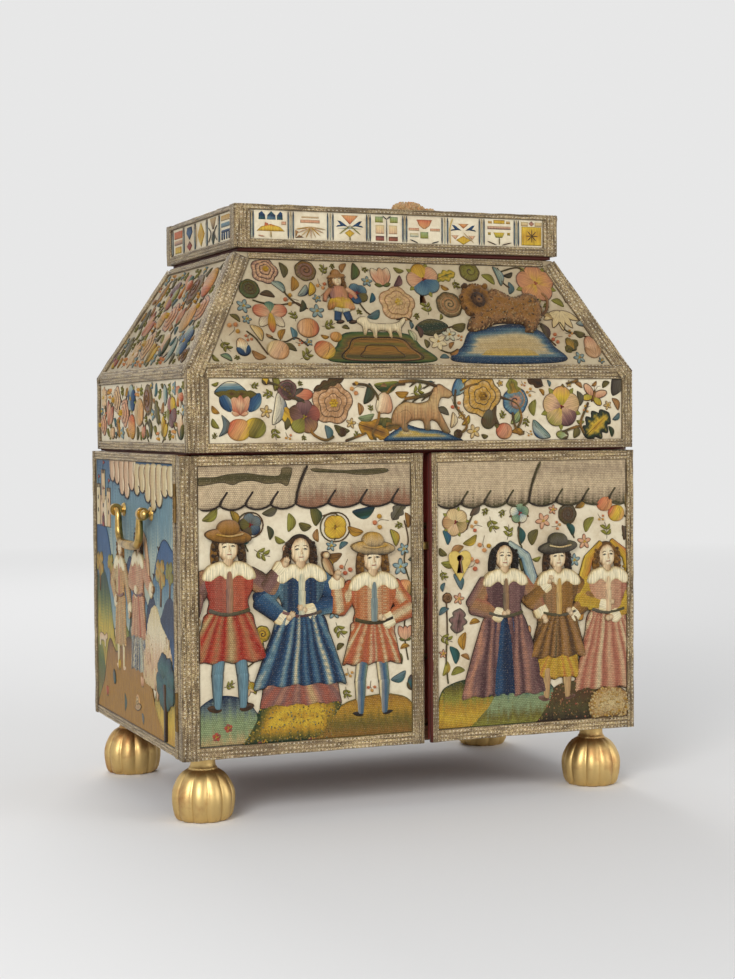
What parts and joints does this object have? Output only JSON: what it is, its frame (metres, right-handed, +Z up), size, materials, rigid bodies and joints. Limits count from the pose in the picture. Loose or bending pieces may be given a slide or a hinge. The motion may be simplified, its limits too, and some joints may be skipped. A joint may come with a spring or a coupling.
{
  "type": "stumpwork casket",
  "caption": "Silk-covered cabinet casket with padded embroidery, doors over drawers, a lifting sloped upper section, a top lid, drop handles and gilt bun feet.",
  "frame": {"origin": "middle of the whole casket's plan at the ground, under the feet", "axes": "+Z up, the doors face -Y, +X to the right seen from the front"},
  "size_m": [0.2958, 0.1994, 0.3398],
  "materials": {
    "oak": "plain waxed wood, hidden under the covering or lined",
    "red_lining": "thin wood covered in faded red silk and paper",
    "satin": "aged ivory silk satin",
    "gilt_braid": "woven silver-gilt metal thread braid, tarnished",
    "gilt_wood": "turned and carved wood, water gilded and worn",
    "brass": "cast and wrought brass, dull polish",
    "iron": "wrought iron, filed",
    "looking_glass": "silvered plate glass"
  },
  "bodies": {
    "carcass": {"base_board": "oak", "side_board_left": "oak", "side_board_right": "oak", "back_board": "oak", "well_front_rail": "red_lining", "well_floor": "red_lining", "well_divider": "red_lining", "drawer_nest": "oak", "side_satin_left": "satin", "side_satin_right": "satin", "carcass_braid": "gilt_braid", "foot_front_left": "gilt_wood", "foot_front_right": "gilt_wood", "foot_rear_left": "gilt_wood", "foot_rear_right": "gilt_wood", "left_bail_post_front": "brass", "left_bail_post_rear": "brass", "right_bail_post_front": "brass", "right_bail_post_rear": "brass", "left_door_lower_hinge_fixed_leaf": "brass", "left_door_upper_hinge_fixed_leaf": "brass", "right_door_lower_hinge_fixed_leaf": "brass", "right_door_upper_hinge_fixed_leaf": "brass", "upper_left_hinge_fixed_leaf": "brass", "upper_right_hinge_fixed_leaf": "brass"},
    "left_door": {"left_door_board": "oak", "left_door_satin": "satin", "left_door_braid": "gilt_braid", "left_door_lower_hinge_moving_leaf": "brass", "left_door_upper_hinge_moving_leaf": "brass"},
    "right_door": {"right_door_board": "oak", "right_door_satin": "satin", "right_door_braid": "gilt_braid", "right_door_lower_hinge_moving_leaf": "brass", "right_door_upper_hinge_moving_leaf": "brass", "heart_lock_plate": "brass", "lock_case": "iron"},
    "door_bolt": {"lock_bolt": "iron"},
    "left_drawer_1": {"drawer_left_1": "red_lining"},
    "left_drawer_2": {"drawer_left_2": "red_lining"},
    "left_drawer_3": {"drawer_left_3": "red_lining"},
    "right_drawer_1": {"drawer_right_1": "red_lining"},
    "right_drawer_2": {"drawer_right_2": "red_lining"},
    "right_drawer_3": {"drawer_right_3": "red_lining"},
    "upper_section": {"upper_shell": "oak", "upper_satin": "satin", "upper_braid": "gilt_braid", "lid_tray": "red_lining", "upper_left_hinge_moving_leaf": "brass", "upper_right_hinge_moving_leaf": "brass", "lid_left_hinge_fixed_leaf": "brass", "lid_right_hinge_fixed_leaf": "brass"},
    "top_lid": {"lid_box": "oak", "lid_satin": "satin", "lid_braid": "gilt_braid", "looking_glass": "looking_glass", "lid_left_hinge_moving_leaf": "brass", "lid_right_hinge_moving_leaf": "brass"},
    "left_handle": {"left_bail": "brass"},
    "right_handle": {"right_bail": "brass"}
  },
  "joints": [
    {"name": "left_door_hinge", "type": "hinge", "parent": "carcass", "child": "left_door", "pos_m": [-0.14, -0.0869, 0.11875], "axis": [0, 0, -1], "range_deg": [0, 180]},
    {"name": "right_door_hinge", "type": "hinge", "parent": "carcass", "child": "right_door", "pos_m": [0.14, -0.0869, 0.11875], "axis": [0, 0, 1], "range_deg": [0, 180]},
    {"name": "bolt_slide", "type": "slide", "parent": "right_door", "child": "door_bolt", "axis": [-1, 0, 0], "range_m": [-0.0042, 0]},
    {"name": "left_drawer_1_slide", "type": "slide", "parent": "carcass", "child": "left_drawer_1", "axis": [0, -1, 0], "range_m": [0, 0.08]},
    {"name": "left_drawer_2_slide", "type": "slide", "parent": "carcass", "child": "left_drawer_2", "axis": [0, -1, 0], "range_m": [0, 0.07]},
    {"name": "left_drawer_3_slide", "type": "slide", "parent": "carcass", "child": "left_drawer_3", "axis": [0, -1, 0], "range_m": [0, 0.06]},
    {"name": "right_drawer_1_slide", "type": "slide", "parent": "carcass", "child": "right_drawer_1", "axis": [0, -1, 0], "range_m": [0, 0.08]},
    {"name": "right_drawer_2_slide", "type": "slide", "parent": "carcass", "child": "right_drawer_2", "axis": [0, -1, 0], "range_m": [0, 0.07]},
    {"name": "right_drawer_3_slide", "type": "slide", "parent": "carcass", "child": "right_drawer_3", "axis": [0, -1, 0], "range_m": [0, 0.06]},
    {"name": "upper_section_hinge", "type": "hinge", "parent": "carcass", "child": "upper_section", "pos_m": [0, 0.09835, 0.2021], "axis": [-1, 0, 0], "range_deg": [0, 95]},
    {"name": "top_lid_hinge", "type": "hinge", "parent": "upper_section", "child": "top_lid", "pos_m": [0, 0.06135, 0.31465], "axis": [-1, 0, 0], "range_deg": [0, 100]},
    {"name": "left_handle_swing", "type": "hinge", "parent": "carcass", "child": "left_handle", "pos_m": [-0.1442, -0.00515, 0.1675], "axis": [0, 1, 0], "range_deg": [0, 170]},
    {"name": "right_handle_swing", "type": "hinge", "parent": "carcass", "child": "right_handle", "pos_m": [0.1442, -0.00515, 0.1675], "axis": [0, -1, 0], "range_deg": [0, 170]}
  ],
  "couplings": [
    {"joint": "left_drawer_1_slide", "follows": "left_door_hinge", "m_per_rad": 0.02546},
    {"joint": "left_drawer_2_slide", "follows": "left_door_hinge", "m_per_rad": 0.02228},
    {"joint": "left_drawer_3_slide", "follows": "left_door_hinge", "m_per_rad": 0.01909},
    {"joint": "right_drawer_1_slide", "follows": "right_door_hinge", "m_per_rad": 0.02546},
    {"joint": "right_drawer_2_slide", "follows": "right_door_hinge", "m_per_rad": 0.02228},
    {"joint": "right_drawer_3_slide", "follows": "right_door_hinge", "m_per_rad": 0.01909}
  ]
}
